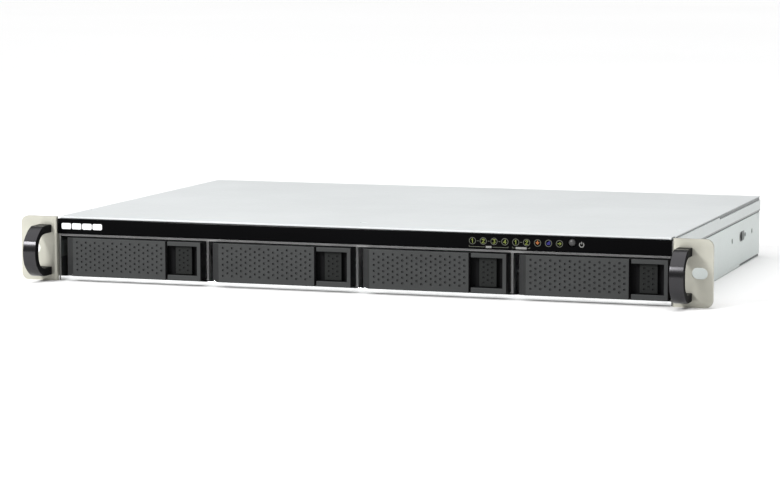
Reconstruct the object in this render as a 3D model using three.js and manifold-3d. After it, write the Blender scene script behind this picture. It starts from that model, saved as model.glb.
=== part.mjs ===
// Short-depth 1U rack enclosure for four hot-swap drives: a zinc-coated steel chassis with a
// screwed cover, two rack ears with bow handles, a black fascia strip, four lever trays, and the
// boards, fans, sockets and power supply that it holds.
//
// Millimetres. +X is to the right seen from the front, +Y to the back, +Z up. Every y in this file
// is counted from the front face of the rack ears; the last lines move the whole object so that
// its origin lies under the middle of its bounding box. A pair such as [low, high] is an extent.

import * as THREE from "three";
import { mergeVertices } from "three/addons/utils/BufferGeometryUtils.js";
import Module from "manifold-3d";

const wasm = await Module();
wasm.setup();

// ---------------------------------------------------------------- driving dimensions

const gap = 0.3; // between two pieces that touch
const roundSides = 20; // facets of a small round piece
const curveSteps = 6; // facets of one bend in an outline

// chassis
const chassisWidth = 430;
const chassisHeight = 44; // one rack unit, less the usual play
const chassisFront = 3.3;
const chassisRear = 294;
const sheet = 1.2; // steel thickness
const coverFlange = 10.5; // how far the cover reaches down the sides
const coverFlangeThickness = 1;
const wallSetBack = 0.5; // from the cover's side to the base's side
const railHoleHeight = 21.3;

// rack ears and their handles
const rackWidth = 482.6; // 19 inches
const slotSpacing = 465.1; // between the rack's screw lines
const slotLength = 10.5;
const slotHeight = 7.5;
const earThickness = 2.5;
const earCornerRadius = 5;
const handleReach = 26.4;
const handleMiddle = [223.25, 21.25]; // x and z of a handle's middle
const handleWidth = 9.3;
const handleHeight = 34.5;
const handleThickness = 5.5;

// front
const stripHeight = [32.5, 42.6];
const stripDepth = [0.6, 5.4];
const railHeight = [30.6, 32]; // the silver line under the strip
const buttonPlace = [148.8, 38.7];
const buttonRadius = 2.4;

// drive bays and trays
const bayCount = 4;
const bayPitch = 106.8;
const bayDepth = [12.5, 166];
const barWidth = 1.6;
const barFront = 8;
const guideHeight = [16.3, 17.3]; // the ribs that hold a tray down
const trayFront = -3.5; // the trays stand out in front of the ears
const trayHeight = [3.95, 30.1];
const trayRight = 52.8;
const leverSpan = [-46.5, 27.3];
const leverThickness = 2.6;
const hinge = { x: -43.6, y: 1.5, pinRadius: 0.85, knuckleRadius: 1.8 };
const lowerKnuckle = [5.3, 8.5];
const upperKnuckle = [25.5, 28.7];
const recessSpan = [28.6, 50];
const recessHeight = [7.5, 27.3];
const latchSpan = [33.4, 45.5];
const latchDepth = [-0.5, 1.1];
const bezelBack = [2.5, 3.9];
const sledHalf = 52.2;
const sledHeight = [3.55, 15.7];
const sledDepth = [15.7, 164];
const sledNeck = [-44.6, 50.7]; // the narrower front of a sled, behind the bezel

// rear and inside
const panelDepth = [289.4, 290.6];
const throughPanel = [283, 295];
const fanSize = 40;
const fanLength = 20;
const fanHeight = 21.5;
const systemFans = [-182, -138];
const psuSpan = [114, 204];
const psuFan = 181;
const inletPlace = [137, 21.5];
const boardHeight = [6, 7.6];
const coverTabs = [-109, 0, 109];
const coverTabHeight = 38.5;

// ---------------------------------------------------------------- materials

function finish(color, roughness, metalness) {
  return new THREE.MeshStandardMaterial({ color, roughness, metalness });
}

const zincSheet = finish(0xdde3e4, 0.4, 0.7);
const earMetal = finish(0xcfcfc2, 0.45, 0.6);
const gunmetal = finish(0x55555a, 0.35, 0.8);
const frameSilver = finish(0x8c8c8c, 0.35, 0.8);
const glossBlack = finish(0x0b0b0c, 0.1, 0);
const trayPlastic = finish(0x454747, 0.55, 0);
const blackPlastic = finish(0x1c1d1e, 0.5, 0);
const boardGreen = finish(0x1f5a3a, 0.5, 0);
const nickel = finish(0xc9cbcc, 0.25, 1);
const bareAluminium = finish(0xb9bcbe, 0.35, 0.9);

// ---------------------------------------------------------------- shapes

function span(side, inner, outer) {
  return side > 0 ? [inner, outer] : [-outer, -inner];
}

function around(middle, size) {
  return [middle - size / 2, middle + size / 2];
}

function block(...extents) {
  const size = extents.map(([low, high]) => high - low);
  const middle = extents.map(([low, high]) => (low + high) / 2);
  return new THREE.BoxGeometry(...size).translate(...middle);
}

function rod(axis, radius, [first, second], [low, high], sides = roundSides) {
  const middle = (low + high) / 2;
  const cylinder = new THREE.CylinderGeometry(radius, radius, high - low, sides);
  if (axis === "x") return cylinder.rotateZ(Math.PI / 2).translate(middle, first, second);
  if (axis === "z") return cylinder.rotateX(Math.PI / 2).translate(first, second, middle);
  return cylinder.translate(first, middle, second);
}

function outline(points) {
  return new THREE.Shape(points.map(([a, b]) => new THREE.Vector2(a, b)));
}

function symmetricOutline(rightHalf) {
  const leftHalf = rightHalf.map(([x, z]) => [-x, z]).reverse();
  return outline([...rightHalf, ...leftHalf]);
}

function extrude(shape, [low, high], steps) {
  return new THREE.ExtrudeGeometry(shape, {
    depth: high - low,
    bevelEnabled: false,
    curveSegments: steps,
  });
}

// A plan in X and Y that stands from z low to z high.
function extrudeZ(shape, extent, steps = curveSteps) {
  return extrude(shape, extent, steps).translate(0, 0, extent[0]);
}

// An elevation in X and Z that runs from y low to y high.
function extrudeY(shape, extent, steps = curveSteps) {
  return extrude(shape, extent, steps).rotateX(Math.PI / 2).translate(0, extent[1], 0);
}

// A side view in Y and Z that runs from x low to x high.
function extrudeX(shape, extent, steps = curveSteps) {
  const turn = new THREE.Matrix4().makeBasis(
    new THREE.Vector3(0, 1, 0),
    new THREE.Vector3(0, 0, 1),
    new THREE.Vector3(1, 0, 0),
  );
  return extrude(shape, extent, steps).applyMatrix4(turn).translate(extent[0], 0, 0);
}

function toManifold(geometry) {
  const bare = geometry.clone();
  bare.deleteAttribute("normal");
  bare.deleteAttribute("uv");
  const merged = mergeVertices(bare);
  return new wasm.Manifold(
    new wasm.Mesh({
      numProp: 3,
      vertProperties: new Float32Array(merged.attributes.position.array),
      triVerts: new Uint32Array(merged.index.array),
    }),
  );
}

function toGeometry(manifold) {
  const mesh = manifold.getMesh();
  const geometry = new THREE.BufferGeometry();
  geometry.setAttribute("position", new THREE.BufferAttribute(mesh.vertProperties, 3));
  geometry.setIndex(new THREE.BufferAttribute(mesh.triVerts, 1));
  return geometry;
}

function join(...pieces) {
  return toGeometry(pieces.map(toManifold).reduce((whole, piece) => whole.add(piece)));
}

function cut(body, ...tools) {
  const holes = tools.map(toManifold).reduce((all, tool) => all.add(tool));
  return toGeometry(toManifold(body).subtract(holes));
}

function common(first, second) {
  return toGeometry(toManifold(first).intersect(toManifold(second)));
}

const enclosure = new THREE.Group();

function addPart(name, geometry, material, parent = enclosure) {
  const mesh = new THREE.Mesh(geometry, material);
  mesh.name = name;
  parent.add(mesh);
}

// ---------------------------------------------------------------- chassis

const wallOutside = chassisWidth / 2 - wallSetBack;
const wallInside = wallOutside - sheet;
const joggle = 1; // the upper wall steps in, so that the cover's flange lies over it
const flangeFoot = chassisHeight - coverFlange;
const baseTop = 40.8;
const topFlange = 8;
const coverUnderside = chassisHeight - sheet;

function bayMiddle(number) {
  return (number - (bayCount + 1) / 2) * bayPitch;
}

function dividerPlaces() {
  return [-1, 0, 1].map((step) => step * bayPitch);
}

function chassisBase() {
  const section = symmetricOutline([
    [wallOutside, 0],
    [wallOutside, flangeFoot - joggle],
    [wallOutside - joggle, flangeFoot],
    [wallOutside - joggle, baseTop],
    [wallInside - joggle - topFlange, baseTop],
    [wallInside - joggle - topFlange, baseTop - sheet],
    [wallInside - joggle, baseTop - sheet],
    [wallInside - joggle, flangeFoot - gap],
    [wallInside, flangeFoot - gap - joggle],
    [wallInside, sheet],
  ]);
  const frontLip = block(
    [-wallInside - 0.2, wallInside + 0.2],
    [chassisFront, chassisFront + sheet],
    [sheet - 0.2, 3.2],
  );
  const guides = [-1, 1].map((side) =>
    block(span(side, wallInside - 1.9, wallInside + 0.2), [20, bayDepth[1]], guideHeight),
  );
  const footRebates = [-1, 1].map((side) =>
    block(span(side, wallOutside - 0.7, wallOutside + 1), [221, chassisRear + 1], [-1, 1.9]),
  );
  const stripPocket = block([-220, 220], [chassisFront - 1, stripDepth[1] + 0.8], [32.4, 45]);
  const flangeEnds = [-1, 1].flatMap((side) =>
    [[chassisFront - 1, 14], [panelDepth[0] - 0.5, chassisRear + 1]].map((run) =>
      block(span(side, 200, wallInside - joggle), run, [baseTop - sheet - 1, baseTop + 1]),
    ),
  );
  const railHoles = [-1, 1].flatMap((side) =>
    [[193.5, 2], [229.5, 3.75], [241, 1.2], [265.5, 2]].map(([y, radius]) =>
      rod("x", radius, [y, railHoleHeight], span(side, 205, 220), 12),
    ),
  );
  return cut(
    join(extrudeY(section, [chassisFront, chassisRear]), frontLip, ...guides),
    stripPocket,
    ...flangeEnds,
    ...footRebates,
    ...railHoles,
  );
}

function topCover() {
  const half = chassisWidth / 2;
  const inside = half - coverFlangeThickness;
  const rebate = [41.2, 43.6]; // a shallow step under the top edge, along the rear half
  const section = symmetricOutline([
    [half, chassisHeight],
    [half, flangeFoot],
    [inside, flangeFoot],
    [inside, rebate[0]],
    [inside - 1.1, rebate[0]],
    [inside - 1.1, coverUnderside],
  ]);
  const flangeFront = 11.5;
  const nose = block(
    [-half + 1.6, half - 1.6],
    [chassisFront, flangeFront + 0.2],
    [coverUnderside, chassisHeight],
  );
  const tabs = coverTabs.map((x) =>
    block(around(x, 10), [panelDepth[1] + gap, panelDepth[1] + 1.3], [34.5, coverUnderside + 0.2]),
  );
  const rebates = [-1, 1].map((side) =>
    block(span(side, half - 0.8, half + 1), [147, chassisRear + 1], rebate),
  );
  const screwHoles = coverTabs.map((x) =>
    rod("y", 1.8, [x, coverTabHeight], [panelDepth[1], chassisRear], 12),
  );
  return cut(
    join(extrudeY(section, [flangeFront, chassisRear]), nose, ...tabs),
    ...rebates,
    ...screwHoles,
  );
}

function coverScrew(x) {
  const headFront = panelDepth[1] + 1.6;
  return join(
    rod("y", 3, [x, coverTabHeight], [headFront, chassisRear], 14),
    rod("y", 1.45, [x, coverTabHeight], [panelDepth[0] - 2, headFront + 0.2], 10),
  );
}

addPart("chassis_base", chassisBase(), zincSheet);
addPart("top_cover", topCover(), zincSheet);
coverTabs.forEach((x, index) => addPart(`cover_screw_${index + 1}`, coverScrew(x), nickel));

// ---------------------------------------------------------------- rack ears and handles

const handleLegs = [-1, 1].map(
  (way) => handleMiddle[1] + (way * (handleHeight - handleThickness)) / 2,
);

function roundedEarPlate() {
  const inner = wallOutside + gap;
  const outer = rackWidth / 2;
  const r = earCornerRadius;
  const plate = new THREE.Shape();
  plate.moveTo(inner, 0);
  plate.lineTo(outer - r, 0);
  plate.absarc(outer - r, r, r, -Math.PI / 2, 0, false);
  plate.lineTo(outer, chassisHeight - r);
  plate.absarc(outer - r, chassisHeight - r, r, 0, Math.PI / 2, false);
  plate.lineTo(inner, chassisHeight);
  return plate;
}

function rackSlot() {
  const r = slotHeight / 2;
  const reach = slotLength / 2 - r;
  const x = slotSpacing / 2;
  const z = chassisHeight / 2;
  const slot = new THREE.Shape();
  slot.absarc(x + reach, z, r, -Math.PI / 2, Math.PI / 2, false);
  slot.absarc(x - reach, z, r, Math.PI / 2, (3 * Math.PI) / 2, false);
  return slot;
}

function mirrored(shape, side) {
  const points = shape.extractPoints(curveSteps).shape;
  return outline(points.map(({ x, y }) => [side * x, y]));
}

function rackEar(side) {
  const inner = wallOutside + gap;
  const flangeBack = 42;
  const flangeThickness = 2;
  const bend = 2;
  const angle = new THREE.Shape();
  angle.moveTo(inner + bend, 0);
  angle.lineTo(rackWidth / 2, 0);
  angle.lineTo(rackWidth / 2, earThickness);
  angle.lineTo(inner + flangeThickness, earThickness);
  angle.lineTo(inner + flangeThickness, flangeBack);
  angle.lineTo(inner, flangeBack);
  angle.lineTo(inner, bend);
  angle.quadraticCurveTo(inner, 0, inner + bend, 0);
  const everywhere = [-1, chassisHeight + 1];
  const behindPlate = [earThickness, flangeBack + 1];
  const flangeZone = span(side, inner - 1, inner + flangeThickness);
  const handleHoles = handleLegs.map((z) =>
    rod("y", 1.7, [side * handleMiddle[0], z], [-1, earThickness + 1], 12),
  );
  const flangeHoles = [[14, 8], [14, 27], [34, 17.5]].map(([y, z]) =>
    rod("x", 1.6, [y, z], span(side, inner - 1, inner + 3), 10),
  );
  return cut(
    common(
      extrudeZ(mirrored(angle, side), everywhere),
      extrudeY(mirrored(roundedEarPlate(), side), [-1, flangeBack + 1]),
    ),
    block(flangeZone, behindPlate, [-1, 3]),
    block(flangeZone, behindPlate, [flangeFoot - 0.7, chassisHeight + 1]),
    extrudeY(mirrored(rackSlot(), side), [-1, earThickness + 1]),
    ...handleHoles,
    ...flangeHoles,
  );
}

// A bow whose grip bulges forward between two creases and whose corners are round.
function handleOutline() {
  const middle = handleMiddle[1];
  const half = handleHeight / 2;
  const crease = { reach: 24.4, rise: 8.5 };
  const shoulder = { reach: 18.5, rise: 16 };
  const legEnd = 12;
  const holeLegEnd = 9;
  const holeHalf = half - handleThickness;
  const holeReach = handleReach - handleThickness;
  const bow = new THREE.Shape();
  bow.moveTo(-gap, middle + half);
  bow.lineTo(-legEnd, middle + half);
  bow.quadraticCurveTo(
    -shoulder.reach, middle + shoulder.rise,
    -crease.reach, middle + crease.rise,
  );
  bow.quadraticCurveTo(
    crease.reach - 2 * handleReach, middle,
    -crease.reach, middle - crease.rise,
  );
  bow.quadraticCurveTo(-shoulder.reach, middle - shoulder.rise, -legEnd, middle - half);
  bow.lineTo(-gap, middle - half);
  bow.lineTo(-gap, middle - holeHalf);
  bow.lineTo(-holeLegEnd, middle - holeHalf);
  bow.bezierCurveTo(-18, middle - holeHalf, -holeReach, middle - 7, -holeReach, middle);
  bow.bezierCurveTo(-holeReach, middle + 7, -18, middle + holeHalf, -holeLegEnd, middle + holeHalf);
  bow.lineTo(-gap, middle + holeHalf);
  return bow;
}

function earHandle(side) {
  const x = side * handleMiddle[0];
  const screwBores = handleLegs.map((z) => rod("y", 1.5, [x, z], [-7, 0], 12));
  return cut(extrudeX(handleOutline(), around(x, handleWidth), 8), ...screwBores);
}

function handleScrew(side, z) {
  const place = [side * handleMiddle[0], z];
  const headFront = earThickness + gap;
  return join(
    rod("y", 2.8, place, [headFront, headFront + 1.8], 14),
    rod("y", 1.2, place, [-6.5, headFront + 0.2], 10),
  );
}

for (const [word, side] of [["left", -1], ["right", 1]]) {
  addPart(`rack_ear_${word}`, rackEar(side), earMetal);
  addPart(`ear_handle_${word}`, earHandle(side), gunmetal);
  addPart(`handle_screw_${word}_lower`, handleScrew(side, handleLegs[0]), nickel);
  addPart(`handle_screw_${word}_upper`, handleScrew(side, handleLegs[1]), nickel);
}

// ---------------------------------------------------------------- front frame and strip

// A bar between two bays that widens in a small radius where it meets the rail.
function bayBar(x) {
  const half = barWidth / 2;
  const root = railHeight[0] + 0.2;
  const radius = 2;
  const bar = new THREE.Shape();
  bar.moveTo(x - half, sheet + gap);
  bar.lineTo(x + half, sheet + gap);
  bar.lineTo(x + half, root - radius);
  bar.quadraticCurveTo(x + half, root, x + half + radius, root);
  bar.lineTo(x - half - radius, root);
  bar.quadraticCurveTo(x - half, root, x - half, root - radius);
  return extrudeY(bar, [barFront, bayDepth[0] - gap], 3);
}

function bayFrame() {
  const railSpan = [-wallInside + gap, wallInside - gap];
  const railThickness = 1;
  const web = [10.2, 11.2];
  return join(
    block(railSpan, [chassisFront, bayDepth[0] - gap], [railHeight[0], railHeight[0] + railThickness]),
    block(railSpan, [chassisFront, chassisFront + sheet], railHeight),
    block([-204.5, 204.5], web, [railHeight[0] + 0.8, coverUnderside - 0.4]),
    ...dividerPlaces().map(bayBar),
  );
}

function frontStrip() {
  const half = wallOutside - 0.1;
  return cut(
    block([-half, half], stripDepth, stripHeight),
    rod("y", buttonRadius + 0.35, buttonPlace, [0, 10]),
  );
}

function powerButton() {
  return join(
    rod("y", buttonRadius, buttonPlace, [stripDepth[0] - 0.4, stripDepth[1] + 0.5]),
    rod("y", buttonRadius + 0.95, buttonPlace, [stripDepth[1] + gap, stripDepth[1] + 1.1]),
  );
}

function ledBoard() {
  const board = block([74, 166], [8, 9.6], [33, 42]);
  const ledPitch = 7.31;
  const leds = Array.from({ length: 9 }, (_, index) =>
    block(around(82 + index * ledPitch, 2.4), [7, 8.2], around(37.8, 1.6)),
  );
  return join(board, ...leds);
}

addPart("bay_frame", bayFrame(), frameSilver);
addPart("front_strip", frontStrip(), glossBlack);
addPart("power_button", powerButton(), blackPlastic);
addPart("led_board", ledBoard(), boardGreen);

// ---------------------------------------------------------------- drive cage and backplane

function driveCage() {
  const half = wallInside - 1.1;
  const top = railHeight[0];
  const dividers = dividerPlaces().flatMap((x) => [
    block(around(x, 1), bayDepth, [sheet + gap, top + 0.2]),
    block(around(x, 4), [20, bayDepth[1]], guideHeight),
  ]);
  return join(block([-half, half], bayDepth, [top, top + 1]), ...dividers);
}

const backplaneDepth = [170, 171.6];

function backplane() {
  const windows = [1, 2, 3, 4].map((bay) =>
    block(around(bayMiddle(bay), 84), [169, 173], [14, 27]),
  );
  return cut(block([-204, 204], backplaneDepth, [2, 38]), ...windows);
}

function driveConnector(bay) {
  const middle = bayMiddle(bay);
  const front = sledDepth[1] + 0.2;
  return cut(
    block(around(middle, 43), [front, backplaneDepth[0] - gap], [5.5, 11]),
    block([middle - 19, middle + 3], [front - 1, front + 4], [7.5, 8.9]),
    block([middle + 6, middle + 18], [front - 1, front + 4], [7.5, 8.9]),
  );
}

addPart("drive_cage", driveCage(), zincSheet);
addPart("backplane", backplane(), boardGreen);
for (let bay = 1; bay <= bayCount; bay += 1) {
  addPart(`drive_connector_${bay}`, driveConnector(bay), blackPlastic);
}

// ---------------------------------------------------------------- trays
// A tray is drawn about the middle of its bay.

function trayBezel() {
  const [low, high] = trayHeight;
  const barDepth = [trayFront, bezelBack[0] + 0.2];
  const barSpan = [recessSpan[0], recessSpan[1] + 0.2];
  const plateSpan = [-39.9, recessSpan[1] + 0.2];
  const shelfSpan = [-39.9, recessSpan[0] + 0.2];
  const shelfDepth = [trayFront + leverThickness + 0.6, bezelBack[0] + 0.2];
  const cheek = [trayRight - 1.5, trayRight];
  const knuckles = [lowerKnuckle, upperKnuckle].flatMap((height) => [
    rod("z", hinge.knuckleRadius, [hinge.x, hinge.y], height, 16),
    block([hinge.x, plateSpan[0] + 0.5], [hinge.y - 1, bezelBack[1] - 0.4], height),
  ]);
  const vents = [-27, -5, 17].map((x) => block(around(x, 18), [1.5, 5.5], [8, 26.5]));
  return cut(
    join(
      block([recessSpan[1], trayRight], [trayFront, bezelBack[1]], trayHeight),
      block(cheek, [bezelBack[0], barFront - 0.7], trayHeight),
      block(plateSpan, bezelBack, trayHeight),
      block(barSpan, barDepth, [low, recessHeight[0]]),
      block(barSpan, barDepth, [recessHeight[1], high]),
      block(shelfSpan, shelfDepth, [low, low + 1]),
      block(shelfSpan, shelfDepth, [high - 1, high]),
      ...knuckles,
    ),
    rod("z", hinge.pinRadius + 0.1, [hinge.x, hinge.y], [0, 40], 16),
    ...vents,
  );
}

// A shallow carrier with low sides, narrower where it passes between the front bars.
function traySled() {
  const low = sledHeight[0];
  const floor = [low, low + 0.8];
  const side = 1.2;
  const wall = 0.8;
  const neckFront = bezelBack[1] + gap;
  const neckDepth = [neckFront, sledDepth[0] + wall];
  const shoulderDepth = [sledDepth[0], sledDepth[0] + wall];
  const vents = [40, 76, 112, 148].map((y) =>
    block([-34, 34], around(y, 22), [floor[0] - 1, floor[1] + 1]),
  );
  return cut(
    join(
      block([-sledHalf, sledHalf], sledDepth, floor),
      block([-sledHalf, -sledHalf + side], sledDepth, sledHeight),
      block([sledHalf - side, sledHalf], sledDepth, sledHeight),
      block([-sledHalf, sledNeck[0] + side], shoulderDepth, sledHeight),
      block([sledNeck[1] - side, sledHalf], shoulderDepth, sledHeight),
      block(sledNeck, neckDepth, floor),
      block([sledNeck[0], sledNeck[0] + side], neckDepth, sledHeight),
      block([sledNeck[1] - side, sledNeck[1]], neckDepth, sledHeight),
      block(sledNeck, [neckFront, neckFront + wall], sledHeight),
    ),
    ...vents,
  );
}

// The lever's cover falls away in a bevel towards the hinge, and a barrel behind it turns on
// the pin between the bezel's two knuckles.
function trayLever() {
  const back = trayFront + leverThickness;
  const end = [leverSpan[0], hinge.y - 2];
  const flatStart = -40.5;
  const cover = new THREE.Shape();
  cover.moveTo(...end);
  cover.quadraticCurveTo(-44.7, trayFront + 0.2, flatStart, trayFront);
  cover.lineTo(leverSpan[1], trayFront);
  cover.lineTo(leverSpan[1], back);
  cover.lineTo(flatStart + 0.6, back);
  cover.quadraticCurveTo(-44.3, back - 0.2, end[0] + 0.4, end[1] + 0.8);
  const barrel = [lowerKnuckle[1] + gap, upperKnuckle[0] - gap];
  return cut(
    join(
      extrudeZ(cover, trayHeight),
      rod("z", hinge.knuckleRadius, [hinge.x, hinge.y], barrel, 16),
      block([hinge.x - 1.4, hinge.x + 1.6], [back - 0.4, hinge.y], barrel),
    ),
    rod("z", hinge.pinRadius + 0.1, [hinge.x, hinge.y], [5, 29], 16),
  );
}

function trayLatch() {
  const height = [recessHeight[0] + 0.35, recessHeight[1] - 0.35];
  return join(
    block(latchSpan, latchDepth, height),
    block([36, 42], [latchDepth[0] + 0.4, bezelBack[0] - gap], [13, 21]),
  );
}

function trayHingePin() {
  return rod("z", hinge.pinRadius, [hinge.x, hinge.y], [4.4, 29.7], 16);
}

for (let bay = 1; bay <= bayCount; bay += 1) {
  const tray = new THREE.Group();
  tray.position.x = bayMiddle(bay);
  addPart(`tray_${bay}_bezel`, trayBezel(), trayPlastic, tray);
  addPart(`tray_${bay}_sled`, traySled(), trayPlastic, tray);
  addPart(`tray_${bay}_lever`, trayLever(), trayPlastic, tray);
  addPart(`tray_${bay}_latch`, trayLatch(), trayPlastic, tray);
  addPart(`tray_${bay}_hinge_pin`, trayHingePin(), nickel, tray);
  enclosure.add(tray);
}

// ---------------------------------------------------------------- fans

const frameRear = panelDepth[0] - gap;
const hubRadius = 8.6;
const bladeTip = 17.8;
const boreRadius = 18.6;

// The disc behind the hub and its three struts, which hold the motor.
function motorMount(x, z, depth) {
  const struts = [0, 1, 2].map((index) => {
    const strut = block([0, boreRadius + 0.8], depth, [-1.1, 1.1]);
    return strut.rotateY((index * 2 * Math.PI) / 3 + 0.5).translate(x, 0, z);
  });
  return join(rod("y", hubRadius, [x, z], depth), ...struts);
}

function fanFrame(x) {
  const z = fanHeight;
  const frame = outline([
    [x - fanSize / 2, z - fanSize / 2],
    [x + fanSize / 2, z - fanSize / 2],
    [x + fanSize / 2, z + fanSize / 2],
    [x - fanSize / 2, z + fanSize / 2],
  ]);
  const bore = new THREE.Path();
  bore.absarc(x, z, boreRadius, 0, 2 * Math.PI, true);
  frame.holes.push(bore);
  return join(
    extrudeY(frame, [frameRear - fanLength, frameRear], 14),
    motorMount(x, z, [frameRear - 2.4, frameRear - 0.4]),
  );
}

function fanRotor(x) {
  const z = fanHeight;
  const front = frameRear - fanLength + 2;
  const rear = frameRear - 2.4 - gap;
  const bladeCount = 7;
  const blades = Array.from({ length: bladeCount }, (_, index) => {
    const blade = block([hubRadius - 1, bladeTip], around(0, 11), around(0, 1.2));
    blade.rotateX(0.75);
    return blade.rotateY((index * 2 * Math.PI) / bladeCount).translate(x, (front + rear) / 2, z);
  });
  return join(rod("y", hubRadius, [x, z], [front, rear]), ...blades);
}

systemFans.forEach((x, index) => {
  addPart(`system_fan_${index + 1}_frame`, fanFrame(x), blackPlastic);
  addPart(`system_fan_${index + 1}_rotor`, fanRotor(x), blackPlastic);
});

// ---------------------------------------------------------------- power supply

function powerSupplyCase() {
  const wall = 1;
  const depth = [178, frameRear];
  const height = [sheet + gap, 41.5];
  const inner = [psuSpan, depth, height].map(([low, high]) => [low + wall, high - wall]);
  const frontVents = Array.from({ length: 6 }, (_, index) =>
    block(around(126 + index * 13, 5), [177, 181], [8, 35]),
  );
  const shell = cut(
    block(psuSpan, depth, height),
    block(...inner),
    rod("y", boreRadius, [psuFan, fanHeight], [frameRear - 3, frameRear + 1], 28),
    block(around(inletPlace[0], 28), [frameRear - 3, frameRear + 1], around(inletPlace[1], 20.6)),
    ...frontVents,
  );
  return join(shell, motorMount(psuFan, fanHeight, [frameRear - 2.4, frameRear - 0.4]));
}

function powerInlet() {
  const [x, z] = inletPlace;
  const flange = [panelDepth[1] + gap, panelDepth[1] + 1.8];
  const floor = flange[1] - 17;
  const pins = [[-7, 0], [0, 3.5], [7, 0]].map(([dx, dz]) =>
    block(around(x + dx, 2), [floor - 0.2, floor + 13], around(z + dz, 4)),
  );
  const housing = cut(
    join(
      block(around(x, 27), [floor - 2, flange[0] + 0.2], around(z, 19.6)),
      block(around(x, 31), flange, around(z, 24)),
    ),
    block(around(x, 24.4), [floor, flange[1] + 1], around(z, 16.6)),
  );
  return join(housing, ...pins);
}

addPart("power_supply_case", powerSupplyCase(), bareAluminium);
addPart("power_supply_fan_rotor", fanRotor(psuFan), blackPlastic);
addPart("power_inlet", powerInlet(), blackPlastic);

// ---------------------------------------------------------------- mainboard and its sockets

const boardDepth = [181, 287];
const socketRear = panelDepth[1] + 0.6;
const socketFloor = boardHeight[1] + gap;
const lanPair = { middle: -14, width: 32, height: 13.5, depth: 21 };
const usbStack = { middles: [-70.8, -48.8], width: 14.4, height: 16, depth: 17.5 };
const resetPlace = [-92, 13];

function mainboard() {
  const chips = [[78, 205, 26], [-76, 215, 18], [-45, 235, 12]].map(([x, y, size]) =>
    block(around(x, size), around(y, size), [boardHeight[1] - 0.1, boardHeight[1] + 1.6]),
  );
  const standoffs = [-92, 96].flatMap((x) =>
    [188, 262].map((y) => rod("z", 2.5, [x, y], [sheet + gap, boardHeight[0] + 0.2], 10)),
  );
  return join(block([-100, 104], boardDepth, boardHeight), ...chips, ...standoffs);
}

// A finned block: a slab with upright fins that run from front to back.
function processorHeatsink() {
  const left = -20;
  const width = 60;
  const finCount = 11;
  const finThickness = 1.4;
  const [foot, slabTop, finTop] = [socketFloor, 12.5, 27];
  const pitch = (width - finThickness) / (finCount - 1);
  const points = [[left, foot], [left + width, foot]];
  for (let fin = finCount - 1; fin >= 0; fin -= 1) {
    const start = left + fin * pitch;
    points.push([start + finThickness, slabTop]);
    points.push([start + finThickness, finTop]);
    points.push([start, finTop]);
    points.push([start, slabTop]);
  }
  return extrudeY(outline(points), [196, 246]);
}

function memorySocket() {
  return cut(
    block([52, 58], [214, 278], [socketFloor, 13]),
    block([56, 60], [212, 280], [10, 11.6]),
  );
}

function memoryModule() {
  return block([56 + gap, 86], [216, 276], [10 + 0.2, 11.4]);
}

function socketBlock(middle, { width, height, depth }, holes) {
  const shell = block(
    around(middle, width),
    [socketRear - depth, socketRear],
    [socketFloor, socketFloor + height],
  );
  return cut(shell, ...holes);
}

function lanPorts() {
  const holes = [-1, 1].map((side) =>
    block(
      around(lanPair.middle + side * 8, 12.4),
      [socketRear - 14, socketRear + 1],
      [socketFloor + 2, socketFloor + 10.4],
    ),
  );
  return socketBlock(lanPair.middle, lanPair, holes);
}

function usbPorts(middle) {
  const holes = [1.4, 9.2].map((rise) =>
    block(
      around(middle, 13),
      [socketRear - 12, socketRear + 1],
      [socketFloor + rise, socketFloor + rise + 5.4],
    ),
  );
  return socketBlock(middle, usbStack, holes);
}

function resetButton() {
  return join(
    rod("y", 1.2, resetPlace, [284, panelDepth[1] - 0.1], 14),
    rod("y", 2, resetPlace, [285.4, 286.6], 14),
  );
}

addPart("mainboard", mainboard(), boardGreen);
addPart("processor_heatsink", processorHeatsink(), bareAluminium);
addPart("memory_socket", memorySocket(), blackPlastic);
addPart("memory_module", memoryModule(), boardGreen);
addPart("lan_ports", lanPorts(), nickel);
usbStack.middles.forEach((x, index) => addPart(`usb_ports_${index + 1}`, usbPorts(x), nickel));
addPart("reset_button", resetButton(), blackPlastic);

// ---------------------------------------------------------------- rear panel

// Level slots that together fill a circle in front of a fan.
function grilleSlots(x, z) {
  const slotPitch = 4;
  const slotOpening = 2.6;
  return [-4, -3, -2, -1, 0, 1, 2, 3, 4].map((row) => {
    const rise = row * slotPitch;
    const reach = Math.sqrt(boreRadius ** 2 - rise ** 2) - 0.6;
    return block([x - reach, x + reach], throughPanel, around(z + rise, slotOpening));
  });
}

function rearPanel() {
  const low = sheet + gap;
  const high = coverUnderside - gap;
  const plate = symmetricOutline([
    [wallInside - gap, low],
    [wallInside - gap, flangeFoot - joggle - 0.6],
    [wallInside - gap - joggle, flangeFoot - 0.6],
    [wallInside - gap - joggle, high],
  ]);
  const socketHole = (middle, { width, height }) =>
    block(around(middle, width + 0.8), throughPanel, [socketFloor - 0.4, socketFloor + height + 0.4]);
  return cut(
    extrudeY(plate, panelDepth),
    ...[...systemFans, psuFan].flatMap((x) => grilleSlots(x, fanHeight)),
    block(around(inletPlace[0], 28), throughPanel, around(inletPlace[1], 20.6)),
    socketHole(lanPair.middle, lanPair),
    ...usbStack.middles.map((x) => socketHole(x, usbStack)),
    rod("y", 1.6, resetPlace, throughPanel, 14),
    ...coverTabs.map((x) => rod("y", 1.8, [x, coverTabHeight], throughPanel, 12)),
  );
}

addPart("rear_panel", rearPanel(), zincSheet);

// ---------------------------------------------------------------- the whole object

enclosure.position.y = (handleReach - chassisRear) / 2;

export default enclosure;
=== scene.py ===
"""The looks of a flat rack-mount drive enclosure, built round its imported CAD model.

Lengths are in millimetres in the row frame until a mesh is made, which turns them into metres.
+X is to the right seen from the front, +Y to the back, +Z up.
"""

import math

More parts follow.
